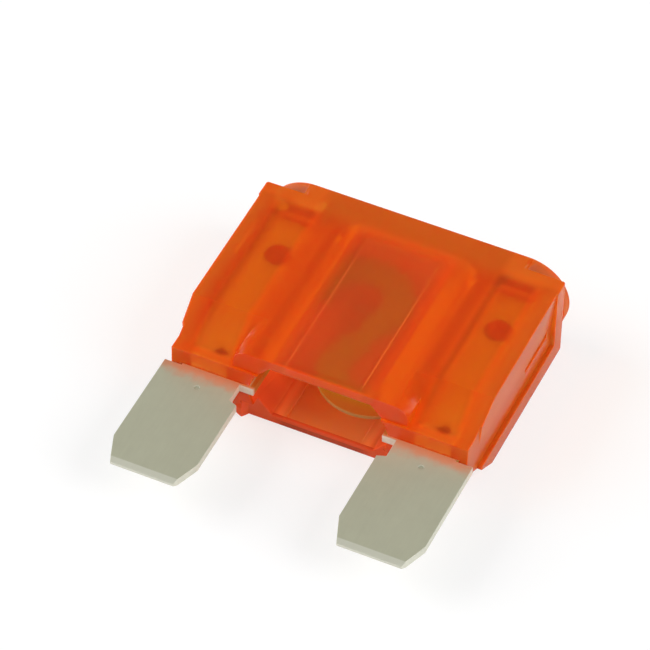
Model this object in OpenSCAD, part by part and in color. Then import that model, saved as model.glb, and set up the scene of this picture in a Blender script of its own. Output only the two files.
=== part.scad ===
// Large plug-in blade fuse for vehicles, lying on its back face.
// X runs across the two blades, Y from the blade tips to the closed top, Z up through the front face.
// The origin is under the middle of the fuse, on the surface that it lies on.

/* [Blades] */
// Width of each blade
blade_w = 8; // [7:0.1:8.6]
// Thickness of the sheet that blades and stems are stamped from
metal_t = 0.8; // [0.6:0.05:1]
// Distance between the centre lines of the two blades
blade_pitch = 21.245; // [20.745:0.1:21.745]
// Length of the blades below the housing
blade_l = 12.6; // [9:0.1:16]
// Width of the cut corners at the tips
tip_cut_w = 1; // [0.4:0.1:2]
// Length of the cut corners at the tips
tip_cut_l = 2.7; // [1:0.1:4]
// Length of the bevel on both faces of the tips
tip_bevel_l = 0.5; // [0.2:0.1:1]
// Depth of the bevel on both faces of the tips
tip_bevel_t = 0.25; // [0.05:0.05:0.25]
// Length of the notch in the inner edge, just below the housing
notch_l = 2; // [0.8:0.1:3]
// Depth of the notch in the inner edge
notch_w = 0.8; // [0.3:0.1:1.5]
// Rise of the notch's slanted lower side
notch_rise = 0.3; // [0.1:0.1:0.6]
// Diameter of the small punch mark on the front of each blade
mark_d = 0.5; // [0.3:0.1:1]
// Depth of the small punch mark
mark_t = 0.1; // [0.05:0.05:0.2]
// Distance of the punch mark below the blade's shoulder
mark_drop = 1.9; // [1:0.1:4]

/* [Stems] */
// Width of the outer shoulder, which the housing's leg stands over
shoulder_w = 1.62; // [1.2:0.02:2]
// Reach of the stem past the blade's inner edge
stem_reach = 0.52; // [0.2:0.02:0.8]
// Diameter of the hole for the stake
stake_hole_d = 2.45; // [1.6:0.05:2.8]
// Distance of the stake from the top of the fuse
stake_drop = 7.25; // [5.5:0.05:9]
// Diameter of the small pilot hole
pilot_d = 1.3; // [0.8:0.1:1.8]
// Distance of the pilot hole above the leg's end
pilot_rise = 3.25; // [2:0.05:5]

/* [Link] */
// Width of the strip that melts
link_w = 2.8; // [2:0.1:3]
// Thickness of the strip that melts
link_t = 0.4; // [0.2:0.05:0.6]
// Inner radius of the two loops
loop_r = 2.2; // [1.6:0.1:2.4]
// Distance of each loop's centre from the middle of the fuse
loop_x = 2.4; // [2:0.1:2.6]
// Distance of the lower loop's centre above the leg's end
loop_rise = 6.3; // [5.5:0.1:7.5]
// Distance of the upper loop's centre below the top of the fuse
loop_drop = 7.9; // [7.5:0.1:9]
// Width of the strip at its neck
neck_w = 1.7; // [0.8:0.1:2]
// Radius of the two bites that form the neck
neck_r = 2; // [1.2:0.1:2.6]
// Length of the straight arm that joins each loop to its stem
arm_l = 1.4; // [0.6:0.1:2]

/* [Housing] */
// Distance that the blades' outer edges stand out past the housing's sides
blade_proud = 0.1725; // [0.0225:0.05:0.2725]
// Thickness of the housing
body_t = 8.3; // [7.5:0.1:10]
// Length of the housing from the ends of its legs to its top
body_l = 21.7; // [20:0.1:26]
// Height of the cap above the side tabs
cap_l = 1.5; // [0.8:0.1:2]
// Radius of the cap's upper edge
cap_r = 0.2; // [0.1:0.1:0.6]
// Height of the side tabs
tab_l = 1.8; // [1:0.1:3]
// Radius of the tabs' outer corners
tab_r = 0.25; // [0.1:0.05:0.5]
// Step of the side walls below the tabs, at the front face
front_step = 0.1; // [0.05:0.05:0.3]
// Step of the side walls below the tabs, at mid thickness
side_step = 0.4; // [0.2:0.05:0.5]
// Thickness of the rim that runs down both sides at the back
rim_t = 1.85; // [1.2:0.05:2.5]
// Length of the shallow groove in each side wall
groove_l = 4.7; // [2:0.1:6]
// Width of the shallow groove in each side wall
groove_w = 0.8; // [0.4:0.1:1.2]
// Depth of the shallow groove in each side wall
groove_t = 0.15; // [0.05:0.05:0.2]
// Distance of the groove's upper end from the top of the fuse
groove_drop = 4.4; // [3.6:0.1:6]

/* [Legs] */
// Thickness of the legs at their ends
leg_t = 4.2; // [3.8:0.1:5]
// Length of the straight part at the end of each leg
leg_end_l = 1.55; // [0.8:0.05:2.5]
// Length of the slope from the leg to the full thickness
leg_slope_l = 3.3; // [2:0.05:5]
// Length of the narrower stretch at the end of each leg
leg_step_l = 2.5; // [1.5:0.1:3.5]

/* [Chamber] */
// Outer width of the block round the chamber's mouth
mouth_w = 16.6; // [16:0.1:17]
// Height of the mouth above the legs' ends
mouth_rise = 0.25; // [0:0.05:1]
// Radius of the block's outer corners
mouth_r = 1.4; // [0.6:0.1:1.8]
// Width of the recess in the back wall's lower edge
back_cut_w = 14; // [12:0.1:15]
// Height of the recess in the back wall's lower edge
back_cut_l = 0.7; // [0.2:0.1:1.2]
// Run of the slant at both ends of the recess
back_cut_run = 0.4; // [0.1:0.1:0.8]
// Thickness of the front and back walls over the chamber
wall_t = 0.95; // [0.8:0.05:1.3]
// Greatest width of the chamber, at mid thickness
chamber_w = 13.4; // [13:0.1:14]
// Inset of the chamber's side where its corner begins
knee_inset = 0.4; // [0.1:0.1:0.8]
// Distance of that corner from mid thickness
knee_z = 1.5; // [1:0.1:2]
// Width of the flat ceiling between the corners
ceiling_w = 9.6; // [8:0.1:10.6]
// Thickness of the closed end over the chamber
roof_t = 2.3; // [1.7:0.1:2.6]
// Width of the thinned panel in the front and back walls
panel_w = 7; // [5:0.1:7.8]
// Depth of the thinned panel
panel_t = 0.25; // [0.05:0.05:0.3]
// Distance of the thinned panel above the mouth
panel_rise = 1.05; // [0.5:0.05:3]
// Distance of the thinned panel below the top of the fuse
panel_drop = 3.9; // [3.1:0.1:6]

/* [Slots] */
// Width of the pocket in each column
pocket_w = 3.4; // [3:0.1:4]
// Thickness of the pocket in each column
pocket_t = 2.8; // [2:0.1:3]
// Height of the pocket's lower end above the leg's end
pocket_rise = 0.9; // [0.7:0.1:1.5]
// Thickness of the closed end over the pocket
pocket_roof_t = 2.8; // [2.75:0.05:3.5]
// Thickness of the closed end over the metal's slot
slot_roof_t = 2.7; // [2:0.1:2.7]
// Width of the probe slot in the cap
probe_w = 3; // [2:0.1:3.4]
// Thickness of the probe slot in the cap
probe_t = 1.2; // [1:0.1:1.8]

/* [Stakes] */
// Rise of each stake above the metal
stake_rise = 0.3; // [0.1:0.1:0.8]
// Diameter of the dimple that the staking punch leaves in the back face
dimple_d = 2.2; // [1.6:0.1:2.6]
// Diameter of the dimple's floor
dimple_floor_d = 1.6; // [1:0.1:2]
// Depth of the dimple
dimple_t = 0.8; // [0.4:0.1:1.4]

/* [Clearances] */
// Gap between the metal and its slot, on each face
face_gap = 0.05; // [0.03:0.01:0.1]
// Gap between a stem's outer edge and its slot
edge_gap = 0.25; // [0.1:0.05:0.3]
// Gap between a stem's upper end and its slot
end_gap = 0.2; // [0.1:0.05:0.4]
// Gap between a blade's shoulder and the leg's end
shoulder_gap = 0.1; // [0.05:0.05:0.2]
// Gap between a stake and its hole, all round
stake_gap = 0.1; // [0.05:0.05:0.2]

/* [Hidden] */

$fn = 96;
// Overshoot of cuts past a face
over = 1;

// Levels along Y, from the blade tips
leg_y = blade_l + shoulder_gap;
mouth_y = leg_y + mouth_rise;
slope_y = leg_y + leg_end_l;
full_y = slope_y + leg_slope_l;
top_y = leg_y + body_l;
cap_y = top_y - cap_l;
tab_y = cap_y - tab_l;
slot_y = top_y - slot_roof_t;
stem_y = slot_y - end_gap;
stake_y = top_y - stake_drop;
pilot_y = leg_y + pilot_rise;
low_loop_y = leg_y + loop_rise;
high_loop_y = top_y - loop_drop;
probe_y = top_y - pocket_roof_t;

// Distances along X, from the middle
blade_x = blade_pitch / 2;
blade_in_x = blade_x - blade_w / 2;
blade_out_x = blade_x + blade_w / 2;
body_w = 2 * (blade_out_x - blade_proud);
stem_in_x = blade_in_x - stem_reach;
stem_out_x = blade_out_x - shoulder_w;
cap_x = body_w / 2 - body_t / 2;
strip_x = loop_r + link_w / 2 - loop_x;

// Distances along Z, from mid thickness
chamber_z = body_t / 2 - wall_t;
rim_z = rim_t - body_t / 2;

// A closed outline from its right half, mirrored about the middle
function both_sides(half) = concat(
    half,
    [for (i = [len(half) - 1 : -1 : 0]) [-half[i][0], half[i][1]]]
);

// Outline drawn in X and Z, extruded along Y
module along_y(from_y, to_y) {
    translate([0, to_y, 0])
        rotate([90, 0, 0])
            linear_extrude(to_y - from_y)
                children();
}

// Outline drawn in Y and Z, extruded along X
module along_x(from_x, to_x) {
    translate([from_x, 0, 0])
        rotate([90, 0, 90])
            linear_extrude(to_x - from_x)
                children();
}

// Outline drawn in X and Y, extruded to a thickness about mid thickness
module sheet(thickness) {
    translate([0, 0, -thickness / 2])
        linear_extrude(thickness)
            children();
}

// Both of a pair that stand left and right
module left_and_right() {
    children();
    mirror([1, 0, 0])
        children();
}

// Both of a pair that stand front and back
module front_and_back() {
    children();
    mirror([0, 0, 1])
        children();
}

// Puts the fuse on its back face with the origin under its middle
module lay_down() {
    translate([0, -top_y / 2, body_t / 2])
        children();
}

// Rectangle about the middle with round corners
module round_rectangle(width, height, radius) {
    square([width - 2 * radius, height], center = true);
    square([width, height - 2 * radius], center = true);
    for (x = [-1, 1], y = [-1, 1])
        translate([x * (width / 2 - radius), y * (height / 2 - radius)])
            circle(radius);
}

// Outline across the housing: a full-width rim at the back, a ledge, and side walls that lean out
module housing_section() {
    polygon(both_sides([
        [body_w / 2, -body_t / 2],
        [body_w / 2, rim_z],
        [body_w / 2 - side_step, rim_z],
        [body_w / 2 - side_step, 0],
        [body_w / 2 - front_step, body_t / 2]
    ]));
}

// Side view of the legs, which slope out to the full thickness
module leg_side() {
    polygon([
        [leg_y, -leg_t / 2],
        [slope_y, -leg_t / 2],
        [full_y, -body_t / 2],
        [tab_y, -body_t / 2],
        [tab_y, body_t / 2],
        [full_y, body_t / 2],
        [slope_y, leg_t / 2],
        [leg_y, leg_t / 2]
    ]);
}

// Columns and legs, down to the narrower leg ends
module columns() {
    difference() {
        intersection() {
            along_y(leg_y, tab_y)
                housing_section();
            along_x(-body_w / 2, body_w / 2)
                leg_side();
        }
        left_and_right()
            translate([body_w / 2 - side_step, leg_y - over, -body_t / 2])
                cube([side_step + over, leg_step_l + over, body_t]);
    }
}

// Block that keeps the full thickness down to the chamber's mouth
module mouth_block() {
    along_y(mouth_y, full_y + over)
        round_rectangle(mouth_w, body_t, mouth_r);
}

// Full-width band with the two side tabs
module tab_band() {
    sheet(body_t)
        translate([0, tab_y]) {
            translate([-body_w / 2 + tab_r, 0])
                square([body_w - 2 * tab_r, tab_l]);
            translate([-body_w / 2, 0])
                square([body_w, tab_l - tab_r]);
            for (side = [-1, 1])
                translate([side * (body_w / 2 - tab_r), tab_l - tab_r])
                    circle(tab_r);
        }
}

// Quarter of the cap's side view: straight, with a round upper corner
module cap_edge() {
    square([body_t / 2 - cap_r, cap_l]);
    square([body_t / 2, cap_l - cap_r]);
    translate([body_t / 2 - cap_r, cap_l - cap_r])
        circle(cap_r);
}

// Cap with half-round ends
module cap() {
    translate([0, cap_y, 0])
        front_and_back()
            along_x(-cap_x, cap_x)
                mirror([1, -1])
                    cap_edge();
    left_and_right()
        translate([cap_x, cap_y, 0])
            rotate([-90, 0, 0])
                rotate_extrude()
                    cap_edge();
}

// Outline across the chamber, with its cut corners
module chamber_section() {
    polygon(both_sides([
        [ceiling_w / 2, -chamber_z],
        [chamber_w / 2 - knee_inset, -knee_z],
        [chamber_w / 2, 0],
        [chamber_w / 2 - knee_inset, knee_z],
        [ceiling_w / 2, chamber_z]
    ]));
}

// Chamber round the link, open at the lower end
module chamber() {
    along_y(leg_y - over, top_y - roof_t)
        chamber_section();
    front_and_back()
        translate([-panel_w / 2, mouth_y + panel_rise, 0])
            cube([panel_w, top_y - panel_drop - mouth_y - panel_rise, chamber_z + panel_t]);
}

// Recess in the back wall's lower edge, slanted at both ends
module back_cut() {
    translate([0, 0, -body_t / 2 - over])
        linear_extrude(wall_t + over + knee_z)
            polygon(both_sides([
                [back_cut_w / 2 + back_cut_run, mouth_y - over],
                [back_cut_w / 2 + back_cut_run, mouth_y],
                [back_cut_w / 2, mouth_y + back_cut_l]
            ]));
}

// Slot for one stem, with the pocket round it and the probe slot above
module stem_slot() {
    slot_t = metal_t + 2 * face_gap;
    translate([0, leg_y - over, -slot_t / 2])
        cube([stem_out_x + edge_gap, slot_y - leg_y + over, slot_t]);
    translate([blade_x - pocket_w / 2, leg_y + pocket_rise, -pocket_t / 2])
        cube([pocket_w, probe_y - leg_y - pocket_rise, pocket_t]);
    translate([blade_x - probe_w / 2, probe_y - over, -probe_t / 2])
        cube([probe_w, pocket_roof_t + 2 * over, probe_t]);
}

// Stake pressed up from the back wall through the metal's hole
module stake() {
    foot_z = -pocket_t / 2 - over / 2;
    translate([blade_x, stake_y, foot_z])
        cylinder(h = metal_t / 2 + stake_rise - foot_z, d = stake_hole_d - 2 * stake_gap);
}

// Dimple in the back face behind a stake
module dimple() {
    translate([blade_x, stake_y, -body_t / 2]) {
        cylinder(h = dimple_t, d1 = dimple_d, d2 = dimple_floor_d);
        translate([0, 0, -over])
            cylinder(h = over, d = dimple_d);
    }
}

// Shallow groove in one side wall
module side_groove() {
    translate([body_w / 2 - side_step - groove_t, top_y - groove_drop - groove_l, -groove_w / 2])
        cube([groove_t + side_step + over, groove_l, groove_w]);
}

// Outline of one blade with its stem
module terminal_outline() {
    half_tip = blade_w / 2 - tip_cut_w;
    notch_y = blade_l - notch_l;
    polygon([
        [blade_x - half_tip, 0],
        [blade_x + half_tip, 0],
        [blade_out_x, tip_cut_l],
        [blade_out_x, blade_l],
        [stem_out_x, blade_l],
        [stem_out_x, stem_y],
        [stem_in_x, stem_y],
        [stem_in_x, blade_l],
        [blade_in_x + notch_w, blade_l],
        [blade_in_x + notch_w, notch_y],
        [blade_in_x, notch_y - notch_rise],
        [blade_in_x, tip_cut_l]
    ]);
}

// One blade with its stem, its holes, its bevelled tip and its punch mark
module terminal() {
    difference() {
        sheet(metal_t)
            terminal_outline();
        for (hole = [[stake_y, stake_hole_d], [pilot_y, pilot_d]])
            translate([blade_x, hole[0], 0])
                cylinder(h = metal_t + 2 * over, d = hole[1], center = true);
        front_and_back()
            along_x(blade_x - blade_w, blade_x + blade_w)
                polygon([
                    [-over, metal_t / 2 - tip_bevel_t],
                    [0, metal_t / 2 - tip_bevel_t],
                    [tip_bevel_l, metal_t / 2],
                    [tip_bevel_l, metal_t / 2 + over],
                    [-over, metal_t / 2 + over]
                ]);
        translate([blade_x, blade_l - mark_drop, metal_t / 2 - mark_t])
            cylinder(h = over, d = mark_d);
    }
}

// Lower loop of the link and the arm that carries it on the right-hand stem
module loop_outline() {
    loop_out_r = loop_r + link_w;
    translate([loop_x, low_loop_y])
        difference() {
            circle(loop_out_r);
            circle(loop_r);
            translate([-loop_out_r - over, 0])
                square([2 * (loop_out_r + over), loop_out_r + over]);
        }
    translate([loop_x + loop_r, low_loop_y])
        square([stem_in_x - loop_x - loop_r + over, arm_l]);
}

// Upper loop of the link: the lower one turned half a turn, at its own level
module upper_loop_outline() {
    translate([0, low_loop_y + high_loop_y])
        rotate(180)
            loop_outline();
}

// Slanting strip between the loops, with a neck at its middle
module strip_outline() {
    rise = high_loop_y - low_loop_y;
    middle_y = (low_loop_y + high_loop_y) / 2;
    difference() {
        polygon([
            [-strip_x - link_w / 2, low_loop_y],
            [-strip_x + link_w / 2, low_loop_y],
            [strip_x + link_w / 2, high_loop_y],
            [strip_x - link_w / 2, high_loop_y]
        ]);
        translate([0, middle_y])
            rotate(atan2(rise, 2 * strip_x) - 90)
                for (side = [-1, 1])
                    translate([side * (neck_w / 2 + neck_r), 0])
                        circle(neck_r);
    }
}

module housing() {
    color([0.84, 0.33, 0.09])
        lay_down() {
            difference() {
                union() {
                    columns();
                    mouth_block();
                    tab_band();
                    cap();
                }
                chamber();
                back_cut();
                left_and_right() {
                    stem_slot();
                    side_groove();
                    dimple();
                }
            }
            left_and_right()
                stake();
        }
}

module element() {
    color([0.72, 0.71, 0.64])
        lay_down() {
            left_and_right()
                terminal();
            sheet(link_t) {
                loop_outline();
                strip_outline();
                upper_loop_outline();
            }
        }
}

housing();
element();
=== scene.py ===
"""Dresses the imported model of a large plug-in blade fuse: a translucent orange housing over a stamped metal
element, on a plain pale floor, seen as in a product photograph."""

import math

import bmesh
import bpy
from bpy.props import FloatProperty, FloatVectorProperty, PointerProperty
from mathutils import Matrix, Vector


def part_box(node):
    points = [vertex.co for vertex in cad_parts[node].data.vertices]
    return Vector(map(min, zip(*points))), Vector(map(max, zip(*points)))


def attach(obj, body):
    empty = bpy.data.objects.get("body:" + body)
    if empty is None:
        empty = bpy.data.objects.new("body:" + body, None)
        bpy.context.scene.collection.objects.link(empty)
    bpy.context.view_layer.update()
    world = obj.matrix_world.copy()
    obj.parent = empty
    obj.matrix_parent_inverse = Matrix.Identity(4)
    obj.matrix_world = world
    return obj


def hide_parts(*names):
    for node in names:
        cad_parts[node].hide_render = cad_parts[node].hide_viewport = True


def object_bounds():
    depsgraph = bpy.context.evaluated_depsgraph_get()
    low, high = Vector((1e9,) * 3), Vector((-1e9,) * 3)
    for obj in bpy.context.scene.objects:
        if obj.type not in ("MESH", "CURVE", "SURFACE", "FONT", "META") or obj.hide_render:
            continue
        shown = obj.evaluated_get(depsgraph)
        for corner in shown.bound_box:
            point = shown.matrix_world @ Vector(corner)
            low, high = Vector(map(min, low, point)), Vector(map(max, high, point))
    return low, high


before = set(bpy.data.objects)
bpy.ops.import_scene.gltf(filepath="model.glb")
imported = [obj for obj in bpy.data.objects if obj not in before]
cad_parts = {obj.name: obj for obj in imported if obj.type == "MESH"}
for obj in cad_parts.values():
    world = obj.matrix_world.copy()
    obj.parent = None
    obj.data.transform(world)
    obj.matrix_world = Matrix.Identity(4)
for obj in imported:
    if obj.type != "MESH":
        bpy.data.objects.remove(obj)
cad_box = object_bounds()

bl_info = {
    "name": "Blade Fuse",
    "version": (1, 0, 0),
    "blender": (4, 5, 0),
    "location": "3D View > Sidebar > Fuse",
    "description": "Builds the looks of a plug-in blade fuse round its packed model",
    "category": "Object",
}

MM = 0.001
HOUSING_LOW, HOUSING_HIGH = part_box("housing")
ELEMENT_LOW, ELEMENT_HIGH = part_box("element")
BLACK = (0.0, 0.0, 0.0, 1.0)
WHITE = (1.0, 1.0, 1.0, 1.0)

# Places in the part, in millimetres
MIDDLE_Z = (ELEMENT_LOW.z + ELEMENT_HIGH.z) / 2 / MM
TOP_Y = HOUSING_HIGH.y / MM
LEG_Y = HOUSING_LOW.y / MM
MOUTH_Y = LEG_Y + 0.25
STAKE_Y = TOP_Y - 7.25
PILOT_Y = LEG_Y + 3.25
BLADE_X = ELEMENT_HIGH.x / MM - 4.0
PANEL_X = 3.5
PANEL_Y = MOUTH_Y + 1.05

# Optics of the plastic: its clear body, and the haze with how far each colour spreads in it
CLEAR_IOR = 1.5
HAZE_IOR = 1.3
SPREAD = (1.0, 0.35, 0.12)

# Depth of the fine grain on both surfaces
GRAIN_DEPTH = 0.02 * MM

# Lamps: name, place, side of the square and power in watts
LAMPS = (
    ("right_lamp", (0.7, 0.0, 0.5), 0.6, 5.0),
    ("left_lamp", (-0.7, -0.2, 0.45), 0.6, 6.0),
)

# The room darkens between these heights, of 0 at the horizon and 1 overhead, by this share
DARK_FROM, DARK_TO = 0.15, 0.6
OVERHEAD_DROP = 0.88


# Node trees


class Socket:
    """An output socket, so that shader maths reads as a Python expression."""

    def __init__(self, tree, socket):
        self.tree = tree
        self.socket = socket

    def math(self, operation, *others):
        return self.tree.math(operation, self, *others)

    def __add__(self, other):
        return self.math("ADD", other)

    __radd__ = __add__

    def __sub__(self, other):
        return self.math("SUBTRACT", other)

    def __rsub__(self, other):
        return self.tree.math("SUBTRACT", other, self)

    def __mul__(self, other):
        return self.math("MULTIPLY", other)

    __rmul__ = __mul__

    def __truediv__(self, other):
        return self.math("DIVIDE", other)

    def __rtruediv__(self, other):
        return self.tree.math("DIVIDE", other, self)

    def __abs__(self):
        return self.math("ABSOLUTE")

    def highest(self, other):
        return self.math("MAXIMUM", other)


class Tree:
    """A material's or world's node tree, emptied and ready to be filled."""

    def __init__(self, owner):
        owner.use_nodes = True
        self.nodes = owner.node_tree.nodes
        self.links = owner.node_tree.links
        self.nodes.clear()

    def node(self, kind, settings=None, sockets=None):
        """Adds a node: its settings first, then the values or links of its sockets."""
        new = self.nodes.new(kind)
        for name, value in (settings or {}).items():
            setattr(new, name, value)
        for name, value in (sockets or {}).items():
            self.feed(new.inputs[name], value)
        return new

    def feed(self, socket, value):
        """Links a socket to another one, or sets its value."""
        if isinstance(value, Socket):
            self.links.new(value.socket, socket)
        elif isinstance(value, bpy.types.NodeSocket):
            self.links.new(value, socket)
        else:
            socket.default_value = value

    def out(self, node, name=0):
        return Socket(self, node.outputs[name])

    def math(self, operation, *values):
        node = self.node("ShaderNodeMath", {"operation": operation})
        for index, value in enumerate(values):
            self.feed(node.inputs[index], value)
        return self.out(node)

    def parts(self, vector):
        """The X, Y and Z of a vector as three sockets."""
        split = self.node("ShaderNodeSeparateXYZ", {}, {"Vector": vector})
        return [self.out(split, axis) for axis in "XYZ"]

    def place(self):
        """Object coordinates of the shaded point, in millimetres."""
        coordinates = self.node("ShaderNodeTexCoord")
        return [part / MM for part in self.parts(coordinates.outputs["Object"])]

    def face_direction(self):
        """The direction that the shaded face looks in."""
        geometry = self.node("ShaderNodeNewGeometry")
        return self.parts(geometry.outputs["True Normal"])

    def noise(self, scale, detail, roughness=0.5, stretch=(1.0, 1.0, 1.0)):
        """Noise on Object coordinates. The scale is in waves to the millimetre."""
        coordinates = self.node("ShaderNodeTexCoord")
        mapping = self.node(
            "ShaderNodeMapping",
            {},
            {"Vector": coordinates.outputs["Object"], "Scale": [s / MM for s in stretch]},
        )
        noise = self.node(
            "ShaderNodeTexNoise",
            {},
            {
                "Vector": mapping.outputs["Vector"],
                "Scale": scale,
                "Detail": detail,
                "Roughness": roughness,
            },
        )
        return self.out(noise, "Fac")

    def bump(self, height, strength):
        """A normal that a height between 0 and 1 roughens."""
        node = self.node(
            "ShaderNodeBump", {}, {"Strength": strength, "Distance": GRAIN_DEPTH, "Height": height}
        )
        return self.out(node, "Normal")

    def mix(self, amount, first, second, blend="MIX"):
        """Mixes two colours: the first at 0 and the second at 1."""
        node = self.node("ShaderNodeMix", {"data_type": "RGBA", "blend_type": blend})
        self.feed(node.inputs[0], amount)
        self.feed(node.inputs[6], first)
        self.feed(node.inputs[7], second)
        return self.out(node, 2)

    def blend(self, amount, first, second):
        """Mixes two shaders: the first at 0 and the second at 1."""
        sockets = {0: amount, 1: first.outputs[0], 2: second.outputs[0]}
        return self.node("ShaderNodeMixShader", {}, sockets)

    def rise(self, value, low, high):
        """0 below low, 1 above high, and a smooth step between."""
        node = self.node(
            "ShaderNodeMapRange",
            {"interpolation_type": "SMOOTHSTEP", "clamp": True},
            {"Value": value, "From Min": low, "From Max": high},
        )
        return self.out(node)

    def fall(self, value, low, high):
        """1 below low, 0 above high, and a smooth step between."""
        return 1.0 - self.rise(value, low, high)


def new_material(name):
    """An empty material with its tree."""
    material = bpy.data.materials.new(name)
    return material, Tree(material)


def opaque(colour):
    """A colour of the settings as a shader takes it."""
    return colour[:] + (1.0,)


# Meshes


def merged_copy(node, name):
    """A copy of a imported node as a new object: its loose triangles joined and its flat faces made whole."""
    shape = bmesh.new()
    shape.from_mesh(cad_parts[node].data)
    bmesh.ops.remove_doubles(shape, verts=shape.verts, dist=0.002 * MM)
    bmesh.ops.dissolve_limit(
        shape,
        angle_limit=math.radians(0.6),
        use_dissolve_boundaries=False,
        verts=shape.verts,
        edges=shape.edges,
    )
    mesh = bpy.data.meshes.new(name)
    piece = bpy.data.objects.new(name, mesh)
    bpy.context.scene.collection.objects.link(piece)
    return piece, shape


def soften_edges(shape, width, segments):
    """Rounds the sharp outer edges."""
    edges = [
        edge
        for edge in shape.edges
        if len(edge.link_faces) == 2
        and edge.calc_face_angle(0) > math.radians(25)
        and edge.is_convex
    ]
    bmesh.ops.bevel(
        shape,
        geom=edges,
        offset=width,
        offset_type="OFFSET",
        segments=segments,
        profile=0.5,
        affect="EDGES",
        clamp_overlap=False,
        material=-1,
        loop_slide=True,
    )


def finish_piece(piece, shape, material):
    """Writes the mesh, its shading and its material."""
    shape.to_mesh(piece.data)
    shape.free()
    piece.data.materials.append(material)
    piece.data.shade_smooth()
    piece.data.set_sharp_from_angle(angle=math.radians(30))
    even = piece.modifiers.new("even_normals", "WEIGHTED_NORMAL")
    even.keep_sharp = True


# Materials


class HousingZones:
    """Masks over the housing, each 1 in its zone and 0 outside. Lengths are in millimetres."""

    def __init__(self, tree):
        self.rise, self.fall = tree.rise, tree.fall
        self.x, self.y, z = tree.place()
        self.side = abs(self.x)
        self.across = self.side - BLADE_X
        self.height = z - MIDDLE_Z
        self.face = tree.face_direction()
        self.chamber = (
            self.fall(self.side, 7.4, 7.6)
            * self.fall(abs(self.height), 3.5, 3.6)
            * self.rise(self.y, MOUTH_Y, MOUTH_Y + 0.1)
            * self.fall(self.y, TOP_Y - 2.2, TOP_Y - 2.0)
        )

    def off_hole(self, hole_y):
        """Squared distance from the axis of a hole through the metal."""
        along = self.y - hole_y
        return self.across * self.across + along * along

    def stakes(self):
        return self.fall(self.off_hole(STAKE_Y), 1.6, 1.8) * self.fall(abs(self.height), 1.0, 1.1)

    def probe_slots(self):
        return (
            self.fall(abs(self.across), 1.6, 1.7)
            * self.fall(abs(self.height), 0.7, 0.8)
            * self.rise(self.y, TOP_Y - 3.0, TOP_Y - 2.9)
        )

    def under_pilots(self):
        """Plastic below the pilot holes, where shade is painted."""
        return self.fall(self.off_hole(PILOT_Y), 3.5, 6.0) * self.fall(self.height, -0.6, -0.5)

    def panel_highlights(self):
        """Both long edges of the thinned panel in the front wall, where a highlight is painted, stronger on
        the left and below.
        """
        return (
            self.fall(abs(self.side - PANEL_X), 0.03, 0.05)
            * self.rise(self.height, 3.15, 3.19)
            * self.chamber
            * (1.0 - self.rise(self.y, TOP_Y - 9.0, TOP_Y - 4.5) * 0.8)
            * (1.0 - self.rise(self.x, 0.0, 0.1) * 0.6)
        )

    def panel_end(self):
        """Lower edge of the thinned panel, which the real housing doesn't have."""
        return (
            self.fall(self.side, PANEL_X - 0.01, PANEL_X + 0.01)
            * self.fall(abs(self.y - PANEL_Y), 0.03, 0.05)
            * self.chamber
        )

    def thin_edges(self):
        """Cap and outer flanks."""
        cap = self.rise(self.y, TOP_Y - 5.0, TOP_Y - 2.0)
        return cap.highest(self.rise(self.side, 12.2, 13.9))

    def back_lip(self):
        """Back wall at the mouth, given painted shade and a painted glow."""
        return self.fall(self.y, MOUTH_Y + 0.96, MOUTH_Y + 1.04) * self.fall(self.height, -3.0, -2.9)

    def cap_ends(self):
        return self.rise(self.side, 8.4, 9.4) * self.rise(self.y, TOP_Y - 3.2, TOP_Y - 2.4)

    def cap_curves(self):
        """Rounded ends of the cap, above the side tabs."""
        return self.rise(self.side, 10.4, 11.6) * self.rise(self.y, TOP_Y - 1.6, TOP_Y - 1.4)

    # Side walls, where a darker haze is painted as shade
    def side_wall_shade(self):
        return self.rise(abs(self.face[0]), 0.75, 0.9) * self.rise(self.side, 11.0, 11.5)

    def over_chamber(self):
        """Skin of the front and back over the middle of the chamber."""
        return (
            self.fall(self.side, 3.4, 4.8)
            * self.rise(self.y, MOUTH_Y, MOUTH_Y + 0.4)
            * self.fall(self.y, TOP_Y - 4.4, TOP_Y - 3.0)
        )

    def over_pockets(self):
        """Skin of the front and back over the pockets in the columns."""
        return (
            self.fall(abs(self.across), 1.4, 2.1)
            * self.rise(self.y, LEG_Y + 0.6, LEG_Y + 1.4)
            * self.fall(self.y, TOP_Y - 3.6, TOP_Y - 2.8)
        )

    def mouth_flanks(self):
        """Both sides of the chamber near the mouth, given painted shade."""
        return self.fall(self.y, MOUTH_Y + 2.0, MOUTH_Y + 4.5) * self.rise(self.side, 4.0, 5.5)


def housing_tone(tree, settings, zones, back_lip, thin):
    """Colour of the haze all over the housing, with painted shade on the side walls and at the mouth."""
    mottle = tree.noise(0.35, detail=3.0)
    tone = tree.mix(mottle, opaque(settings.deep_colour), opaque(settings.colour))
    tone = tree.mix(thin, tone, opaque(settings.edge_colour))
    # Painted shade: a darker haze on the side walls, which the lamps light and which mirror the floor
    tone = tree.mix(zones.side_wall_shade(), tone, opaque(settings.side_shade_colour))
    inner = tree.mix(
        tree.rise(zones.side, 4.2, 5.2),
        opaque(settings.inner_colour),
        opaque(settings.inner_side_colour),
    )
    # Painted shade on the chamber's sides near the mouth and on the back wall's lower edge
    inner = tree.mix(zones.mouth_flanks(), inner, opaque(settings.mouth_shade_colour))
    tone = tree.mix(zones.chamber, tone, inner)
    return tree.mix(back_lip, tone, opaque(settings.mouth_shade_colour))


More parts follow.
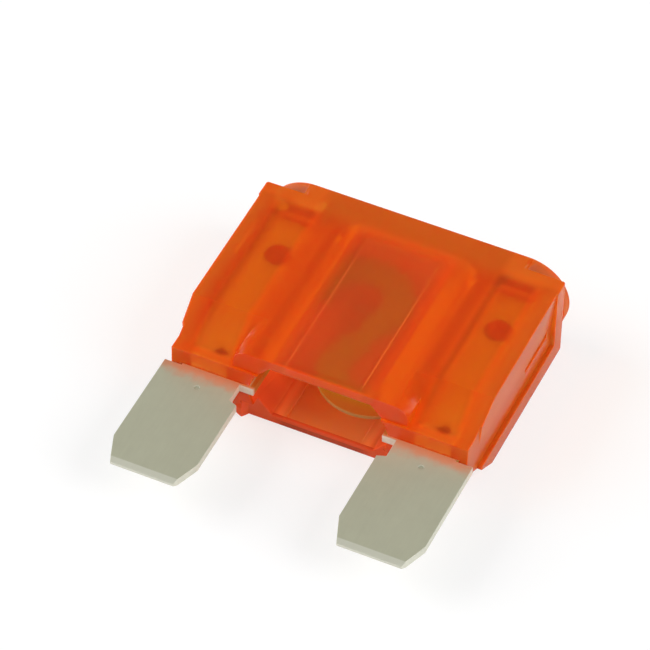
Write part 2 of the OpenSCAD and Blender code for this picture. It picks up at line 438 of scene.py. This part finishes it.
def housing_plastic(settings):
    """Orange see-through plastic. Its matt skin blurs what lies behind it, and a haze scatters light."""
    material, tree = new_material("orange_translucent_plastic")
    zones = HousingZones(tree)
    back_lip = zones.back_lip()
    thin = zones.thin_edges()
    panel_end = zones.panel_end()
    # Painted shade: the stakes, the probe slots and the plastic below the pilot holes are tinted darker; the
    # panel's lower edge takes the same tint
    spots = zones.stakes().highest(zones.probe_slots() * 0.5)
    dark = spots.highest(zones.under_pilots()).highest(panel_end)
    haze_share = (
        settings.haze
        - zones.over_chamber() * settings.haze_drop
        - zones.over_pockets() * settings.haze_drop * 0.7
        + zones.chamber * (0.15 + settings.haze_drop)
        + thin.highest(back_lip) * 0.2
        + zones.cap_ends() * 0.15
        + back_lip * 0.15
    )
    grain = tree.noise(3.0, detail=4.0, roughness=0.6)
    surface = {
        "Roughness": settings.roughness
        + (grain - 0.5) * 0.1
        + zones.chamber * settings.chamber_roughness
        + zones.cap_curves() * 0.3,
        "Normal": tree.bump(grain, 0.06),
        "Emission Strength": 1.0,
    }
    # Painted shade: the chamber's walls are tinted darker, which browns the window
    skin = tree.mix(zones.chamber, opaque(settings.clear_colour), opaque(settings.chamber_shade_tint))
    clear = tree.node(
        "ShaderNodeBsdfPrincipled",
        {},
        {
            **surface,
            "Base Color": tree.mix(dark, skin, opaque(settings.hole_shade_tint)),
            "Transmission Weight": 1.0,
            "IOR": CLEAR_IOR,
            # Painted highlight: thin lines of glow along the panel's long edges
            "Emission Color": tree.mix(zones.panel_highlights(), BLACK, opaque(settings.panel_light)),
        },
    )
    tone = housing_tone(tree, settings, zones, back_lip, thin)
    # Painted glow: the chamber's walls, strongest near the mouth, and the back wall's lower edge give off the
    # inner light
    chamber_glow = zones.chamber * (1.2 - tree.rise(zones.y, MOUTH_Y + 3.0, MOUTH_Y + 5.0) * 0.5)
    haze = tree.node(
        "ShaderNodeBsdfPrincipled",
        {"subsurface_method": "RANDOM_WALK"},
        {
            **surface,
            "Base Color": tree.mix(dark, tone, opaque(settings.hole_shade_tint), "MULTIPLY"),
            "Subsurface Weight": 1.0,
            "Subsurface Scale": settings.scatter,
            "Subsurface Radius": SPREAD,
            "IOR": HAZE_IOR,
            "Emission Color": tree.mix(chamber_glow.highest(back_lip), BLACK, opaque(settings.inner_light)),
        },
    )
    geometry = tree.node("ShaderNodeNewGeometry")
    body = tree.blend((1.0 - tree.out(geometry, "Backfacing")) * haze_share, clear, haze)
    lit_through = tree.node(
        "ShaderNodeBsdfTransparent", {}, {"Color": opaque(settings.shadow_colour)}
    )
    path = tree.node("ShaderNodeLightPath")
    front_shadow = tree.out(path, "Is Shadow Ray") * tree.rise(zones.height, -0.6, -0.5)
    whole = tree.blend(front_shadow.highest(panel_end), body, lit_through)
    inside = tree.node(
        "ShaderNodeVolumeAbsorption",
        {},
        {"Color": opaque(settings.tint), "Density": settings.density},
    )
    tree.node(
        "ShaderNodeOutputMaterial",
        {},
        {"Surface": whole.outputs[0], "Volume": inside.outputs[0]},
    )
    return material


def stamped_metal(settings):
    """Dull tin-coated metal with a fine grain, and painted highlights on its cut edges and bevels."""
    material, tree = new_material("dull_stamped_metal")
    x, y, z = tree.place()
    side = abs(x)
    mottle = tree.noise(0.8, detail=5.0, roughness=0.6)
    streak = tree.noise(1.0, detail=3.0, roughness=0.6, stretch=(4.0, 0.35, 1.0))
    coating = (mottle * 0.6 + streak * 0.4 - 0.5) * 0.9 + 0.5
    tone = tree.mix(coating, opaque(settings.dark_colour), opaque(settings.colour))

    # Orange light on the blades just below the legs, with an uneven border
    border = y + tree.noise(0.9, detail=3.0) * 1.4
    by_leg = tree.rise(border, LEG_Y - 0.9, LEG_Y + 0.5) * tree.fall(y, LEG_Y + 0.1, LEG_Y + 0.2)
    tone = tree.mix(by_leg * 0.7, tone, opaque(settings.lit_colour))

    # Painted orange light on the link, redder where it shows in the open mouth
    in_chamber = tree.rise(y, MOUTH_Y - 0.3, MOUTH_Y) * tree.fall(side, 6.4, 6.6)
    link = tree.mix(
        tree.rise(y, MOUTH_Y + 1.5, MOUTH_Y + 3.5),
        opaque(settings.mouth_light_colour),
        opaque(settings.link_light_colour),
    )
    tone = tree.mix(in_chamber, tone, link)

    # Painted highlights on the cut edges and bevels outside the chamber
    flatness = abs(tree.face_direction()[2])
    bright = (tree.fall(flatness, 0.3, 0.6) * 0.6).highest(tree.fall(flatness, 0.92, 0.97) * 0.45)
    tone = tree.mix(bright * (1.0 - in_chamber), tone, opaque(settings.highlight_colour))

    # Painted shade on the walls of the stake and pilot holes
    across = side - BLADE_X
    off_pilot = across * across + (y - PILOT_Y) * (y - PILOT_Y)
    off_stake = across * across + (y - STAKE_Y) * (y - STAKE_Y)
    in_hole = tree.fall(off_pilot, 0.45, 0.5).highest(tree.fall(off_stake, 1.55, 1.62))
    tone = tree.mix(in_hole, tone, opaque(settings.hole_shade_colour))

    metal = tree.node(
        "ShaderNodeBsdfPrincipled",
        {},
        {
            "Base Color": tone,
            "Metallic": (1.0 - in_hole) * 0.3,
            "Roughness": settings.roughness + (mottle - 0.5) * 0.2,
            "Normal": tree.bump(tree.noise(6.0, detail=3.0, roughness=0.6), 0.25),
        },
    )
    tree.node("ShaderNodeOutputMaterial", {}, {"Surface": metal.outputs[0]})
    return material


def floor_finish(settings):
    """Matt white floor. The camera sees it lifted towards plain white, with the fuse's soft shadow."""
    material, tree = new_material("pale_floor")
    grey = (settings.floor_grey,) * 3 + (1.0,)
    matt = tree.node("ShaderNodeBsdfDiffuse", {}, {"Color": grey})
    white = tree.node("ShaderNodeEmission", {}, {"Strength": settings.floor_white})
    lifted = tree.blend(settings.floor_lift, matt, white)
    path = tree.node("ShaderNodeLightPath")
    whole = tree.blend(path.outputs["Is Camera Ray"], matt, lifted)
    tree.node("ShaderNodeOutputMaterial", {}, {"Surface": whole.outputs[0]})
    return material


# Settings


class HousingSettings(bpy.types.PropertyGroup):
    """Sizes and colours of the housing."""

    edge_radius: FloatProperty(
        name="Edge radius",
        description="Rounding of the housing's outer edges",
        default=0.09 * MM,
        min=0.02 * MM,
        max=0.3 * MM,
        precision=5,
        unit="LENGTH",
    )
    colour: FloatVectorProperty(
        name="Colour",
        description="Colour of the plastic where it is thick",
        subtype="COLOR",
        size=3,
        default=(0.95, 0.095, 0.006),
        min=0.0,
        max=1.0,
    )
    deep_colour: FloatVectorProperty(
        name="Deep colour",
        description="Second colour that the plastic drifts to",
        subtype="COLOR",
        size=3,
        default=(0.93, 0.08, 0.004),
        min=0.0,
        max=1.0,
    )
    edge_colour: FloatVectorProperty(
        name="Edge colour",
        description="Colour of the plastic in the cap and along the side walls",
        subtype="COLOR",
        size=3,
        default=(0.76, 0.13, 0.01),
        min=0.0,
        max=1.0,
    )
    inner_colour: FloatVectorProperty(
        name="Inner colour",
        description="Colour of the chamber's walls",
        subtype="COLOR",
        size=3,
        default=(1.0, 0.3, 0.09),
        min=0.0,
        max=1.0,
    )
    # Painted shade: darker haze on the side walls
    side_shade_colour: FloatVectorProperty(
        name="Side colour",
        description="Calmer tone of the haze behind the side walls, which mirror the floor",
        subtype="COLOR",
        size=3,
        default=(0.6, 0.1, 0.01),
        min=0.0,
        max=1.0,
    )
    # Painted shade at the mouth: the back wall's lower edge and the chamber's sides near it
    mouth_shade_colour: FloatVectorProperty(
        name="Lip colour",
        description="Dark red of the back wall's lower edge and of the chamber's sides near the mouth",
        subtype="COLOR",
        size=3,
        default=(0.58, 0.06, 0.012),
        min=0.0,
        max=1.0,
    )
    # Painted glow of the chamber's walls and of the back wall's lower edge
    inner_light: FloatVectorProperty(
        name="Inner light",
        description="Light that the chamber's walls gather from the plastic round them",
        subtype="COLOR",
        size=3,
        default=(0.12, 0.021, 0.006),
        min=0.0,
        max=1.0,
    )
    inner_side_colour: FloatVectorProperty(
        name="Inner side colour",
        description="Colour of the chamber's side walls",
        subtype="COLOR",
        size=3,
        default=(0.78, 0.14, 0.035),
        min=0.0,
        max=1.0,
    )
    panel_light: FloatVectorProperty(
        name="Panel light",
        description="Light that the long edges of the front wall's thinned panel catch",
        subtype="COLOR",
        size=3,
        default=(0.42, 0.12, 0.07),
        min=0.0,
        max=1.0,
    )
    tint: FloatVectorProperty(
        name="Tint",
        description="Colour that the depth of the plastic gives to what shows through it",
        subtype="COLOR",
        size=3,
        default=(0.97, 0.8, 0.0),
        min=0.0,
        max=1.0,
    )
    density: FloatProperty(
        name="Density",
        description="How much each metre of plastic takes of the colours that it stops",
        default=700.0,
        min=0.0,
    )
    clear_colour: FloatVectorProperty(
        name="Clear colour",
        description="Tint of the plastic's skin",
        subtype="COLOR",
        size=3,
        default=(1.0, 0.8, 0.5),
        min=0.0,
        max=1.0,
    )
    # Painted shade: a darker tint of the chamber's walls
    chamber_shade_tint: FloatVectorProperty(
        name="Chamber colour",
        description="Tint of the chamber's walls, which makes the window browner",
        subtype="COLOR",
        size=3,
        default=(0.64, 0.48, 0.27),
        min=0.0,
        max=1.0,
    )
    # Painted shade in the stakes, the probe slots and below the pilot holes
    hole_shade_tint: FloatVectorProperty(
        name="Stake colour",
        description="Tint of the stakes in the metal's holes, of the probe slots and below the pilot holes",
        subtype="COLOR",
        size=3,
        default=(0.68, 0.15, 0.12),
        min=0.0,
        max=1.0,
    )
    chamber_roughness: FloatProperty(
        name="Chamber roughness",
        description="Roughness that the chamber's walls have more than the outside",
        default=0.02,
        min=0.0,
        max=1.0,
        subtype="FACTOR",
    )
    shadow_colour: FloatVectorProperty(
        name="Shadow colour",
        description="Share of each colour of lamp light that one skin lets through",
        subtype="COLOR",
        size=3,
        default=(0.85, 0.6, 0.3),
        min=0.0,
        max=1.0,
    )
    haze: FloatProperty(
        name="Haze",
        description="Share of the light that scatters in the plastic",
        default=0.6,
        min=0.0,
        max=1.0,
        subtype="FACTOR",
    )
    haze_drop: FloatProperty(
        name="Haze drop",
        description="Share less of scattered light over the hollow chamber, where the plastic is thin",
        default=0.35,
        min=0.0,
        max=1.0,
        subtype="FACTOR",
    )
    scatter: FloatProperty(
        name="Scatter",
        description="How far light spreads inside the plastic",
        default=0.6 * MM,
        min=0.1 * MM,
        max=5.0 * MM,
        precision=5,
        unit="LENGTH",
    )
    roughness: FloatProperty(
        name="Roughness",
        description="Roughness of the moulded surface",
        default=0.2,
        min=0.0,
        max=1.0,
        subtype="FACTOR",
    )


class ElementSettings(bpy.types.PropertyGroup):
    """Sizes and colours of the metal element."""

    edge_radius: FloatProperty(
        name="Edge radius",
        description="Rounding of the stamped edges",
        default=0.04 * MM,
        min=0.01 * MM,
        max=0.1 * MM,
        precision=5,
        unit="LENGTH",
    )
    colour: FloatVectorProperty(
        name="Colour",
        description="Pale tone of the coated metal",
        subtype="COLOR",
        size=3,
        default=(0.59, 0.6, 0.445),
        min=0.0,
        max=1.0,
    )
    # Painted highlight on the cut edges and bevels
    highlight_colour: FloatVectorProperty(
        name="Cut colour",
        description="Brighter tone of the cut edges and bevels",
        subtype="COLOR",
        size=3,
        default=(0.8, 0.79, 0.7),
        min=0.0,
        max=1.0,
    )
    # Painted orange light on the loop in the open mouth
    mouth_light_colour: FloatVectorProperty(
        name="Mouth colour",
        description="Tone of the loop where it shows in the open mouth",
        subtype="COLOR",
        size=3,
        default=(0.48, 0.2, 0.04),
        min=0.0,
        max=1.0,
    )
    # Painted shade inside the holes
    hole_shade_colour: FloatVectorProperty(
        name="Hole colour",
        description="Dark tone inside the holes, which the plastic closes off",
        subtype="COLOR",
        size=3,
        default=(0.12, 0.015, 0.01),
        min=0.0,
        max=1.0,
    )
    lit_colour: FloatVectorProperty(
        name="Lit colour",
        description="Tone of the metal where it mirrors the plastic beside it",
        subtype="COLOR",
        size=3,
        default=(0.75, 0.24, 0.1),
        min=0.0,
        max=1.0,
    )
    # Painted orange light on the link in the chamber
    link_light_colour: FloatVectorProperty(
        name="Link colour",
        description="Tone of the metal in the chamber, where orange light alone reaches it",
        subtype="COLOR",
        size=3,
        default=(0.42, 0.4, 0.05),
        min=0.0,
        max=1.0,
    )
    dark_colour: FloatVectorProperty(
        name="Dark colour",
        description="Second, darker tone of the coated metal",
        subtype="COLOR",
        size=3,
        default=(0.485, 0.485, 0.355),
        min=0.0,
        max=1.0,
    )
    roughness: FloatProperty(
        name="Roughness",
        description="Roughness of the coated metal",
        default=0.5,
        min=0.0,
        max=1.0,
        subtype="FACTOR",
    )


class StageSettings(bpy.types.PropertyGroup):
    """Floor, lamps and camera."""

    floor_size: FloatProperty(
        name="Floor size",
        description="Side of the square floor",
        default=4.0,
        min=0.2,
        unit="LENGTH",
    )
    floor_gap: FloatProperty(
        name="Floor gap",
        description="Air under the fuse, so that its back face and the floor never coincide",
        default=0.02 * MM,
        min=0.0,
        unit="LENGTH",
        precision=6,
    )
    floor_grey: FloatProperty(
        name="Floor grey",
        description="Grey value of the matt floor",
        default=0.92,
        min=0.0,
        max=1.0,
        subtype="FACTOR",
    )
    floor_white: FloatProperty(
        name="Floor white",
        description="Strength of the plain white that the floor is lifted with",
        default=1.12,
        min=0.0,
    )
    floor_lift: FloatProperty(
        name="Floor lift",
        description="Share of plain white in the floor where it is seen",
        default=0.6,
        min=0.0,
        max=1.0,
    )
    lens: FloatProperty(
        name="Lens",
        description="Focal length of the camera, in millimetres",
        default=257.85,
        min=10.0,
        subtype="DISTANCE_CAMERA",
    )
    camera_place: FloatVectorProperty(
        name="Camera place",
        description="Where the camera stands",
        subtype="XYZ",
        unit="LENGTH",
        size=3,
        default=(0.110355, -0.251793, 0.299853),
    )
    camera_aim: FloatVectorProperty(
        name="Camera aim",
        description="Point at the middle of the picture",
        subtype="XYZ",
        unit="LENGTH",
        size=3,
        default=(-0.003939, 0.005457, 0.00415),
    )
    camera_roll: FloatProperty(
        name="Camera roll",
        description="Turn of the camera about its own axis",
        default=math.radians(1.3227),
        subtype="ANGLE",
    )


# Operators


class FUSE_OT_element(bpy.types.Operator):
    """Build the stamped metal element with its edges softened"""

    bl_idname = "fuse.element"
    bl_label = "Metal element"

    def execute(self, context):
        settings = context.scene.fuse_element
        piece, shape = merged_copy("element", "stamped_element")
        soften_edges(shape, settings.edge_radius, segments=2)
        finish_piece(piece, shape, stamped_metal(settings))
        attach(piece, "root")
        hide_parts("element")
        return {"FINISHED"}


class FUSE_OT_housing(bpy.types.Operator):
    """Build the translucent housing with its outer edges softened"""

    bl_idname = "fuse.housing"
    bl_label = "Housing"

    def execute(self, context):
        settings = context.scene.fuse_housing
        piece, shape = merged_copy("housing", "moulded_housing")
        soften_edges(shape, settings.edge_radius, segments=3)
        finish_piece(piece, shape, housing_plastic(settings))
        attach(piece, "root")
        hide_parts("housing")
        return {"FINISHED"}


class FUSE_OT_stage(bpy.types.Operator):
    """Set up the floor, the lamps, the world and the camera"""

    bl_idname = "fuse.stage"
    bl_label = "Stage"

    def execute(self, context):
        settings = context.scene.fuse_stage
        self.lay_floor(context, settings)
        self.hang_lamps(context)
        self.light_world(context)
        self.set_camera(context, settings)
        context.scene.view_settings.view_transform = "Standard"
        return {"FINISHED"}

    def lay_floor(self, context, settings):
        """A floor that the camera alone sees as almost white."""
        shape = bmesh.new()
        bmesh.ops.create_grid(shape, x_segments=1, y_segments=1, size=settings.floor_size / 2)
        level = cad_box[0][2] - settings.floor_gap
        bmesh.ops.translate(shape, verts=shape.verts, vec=(0.0, 0.0, level))
        mesh = bpy.data.meshes.new("floor")
        shape.to_mesh(mesh)
        shape.free()
        floor = bpy.data.objects.new("floor", mesh)
        context.scene.collection.objects.link(floor)
        mesh.materials.append(floor_finish(settings))

    def hang_lamps(self, context):
        """Lamps turned to the fuse, and left out of mirrored light, which the room gives alone."""
        for name, place, side, power in LAMPS:
            lamp = bpy.data.lights.new(name, "AREA")
            lamp.shape = "SQUARE"
            lamp.size = side
            lamp.energy = power
            holder = bpy.data.objects.new(name, lamp)
            holder.location = place
            holder.visible_glossy = False
            holder.rotation_euler = (-Vector(place)).to_track_quat("-Z", "Y").to_euler()
            context.scene.collection.objects.link(holder)

    def light_world(self, context):
        """A white room, darker overhead. Seen straight or through the plastic it is plain white."""
        world = bpy.data.worlds.new("soft_room")
        context.scene.world = world
        tree = Tree(world)
        path = tree.node("ShaderNodeLightPath")
        seen = tree.out(path, "Is Camera Ray").highest(tree.out(path, "Is Transmission Ray"))
        direction = tree.parts(tree.node("ShaderNodeTexCoord").outputs["Generated"])
        room = 1.0 - tree.rise(direction[2], DARK_FROM, DARK_TO) * OVERHEAD_DROP
        strength = room + (1.0 - room) * seen
        backdrop = tree.node("ShaderNodeBackground", {}, {"Color": WHITE, "Strength": strength})
        tree.node("ShaderNodeOutputWorld", {}, {"Surface": backdrop.outputs[0]})

    def set_camera(self, context, settings):
        """The photograph's view, seen through a long lens."""
        camera = bpy.data.cameras.new("camera")
        camera.lens = settings.lens
        camera.sensor_width = 36.0
        camera.clip_start = 0.01
        holder = bpy.data.objects.new("camera", camera)
        context.scene.collection.objects.link(holder)
        place = Vector(settings.camera_place)
        aim = Vector(settings.camera_aim) - place
        turn = aim.to_track_quat("-Z", "Y").to_matrix().to_4x4()
        roll = Matrix.Rotation(settings.camera_roll, 4, "Z")
        holder.matrix_world = Matrix.Translation(place) @ turn @ roll
        context.scene.camera = holder


class FUSE_PT_panel(bpy.types.Panel):
    """Lists the steps that build the fuse"""

    bl_idname = "FUSE_PT_panel"
    bl_label = "Blade Fuse"
    bl_space_type = "VIEW_3D"
    bl_region_type = "UI"
    bl_category = "Fuse"

    def draw(self, context):
        column = self.layout.column(align=True)
        for step in STEPS:
            column.operator("fuse." + step)
        for group in ("fuse_housing", "fuse_element", "fuse_stage"):
            settings = getattr(context.scene, group)
            box = self.layout.box()
            for name in settings.__annotations__:
                box.prop(settings, name)


STEPS = ("element", "housing", "stage")
CLASSES = (
    HousingSettings,
    ElementSettings,
    StageSettings,
    FUSE_OT_element,
    FUSE_OT_housing,
    FUSE_OT_stage,
    FUSE_PT_panel,
)


def register():
    for each in CLASSES:
        bpy.utils.register_class(each)
    bpy.types.Scene.fuse_housing = PointerProperty(type=HousingSettings)
    bpy.types.Scene.fuse_element = PointerProperty(type=ElementSettings)
    bpy.types.Scene.fuse_stage = PointerProperty(type=StageSettings)


def unregister():
    del bpy.types.Scene.fuse_stage
    del bpy.types.Scene.fuse_element
    del bpy.types.Scene.fuse_housing
    for each in reversed(CLASSES):
        bpy.utils.unregister_class(each)


def main():
    """Builds everything."""
    register()
    for step in STEPS:
        getattr(bpy.ops.fuse, step)()


if __name__ == "__main__":
    main()
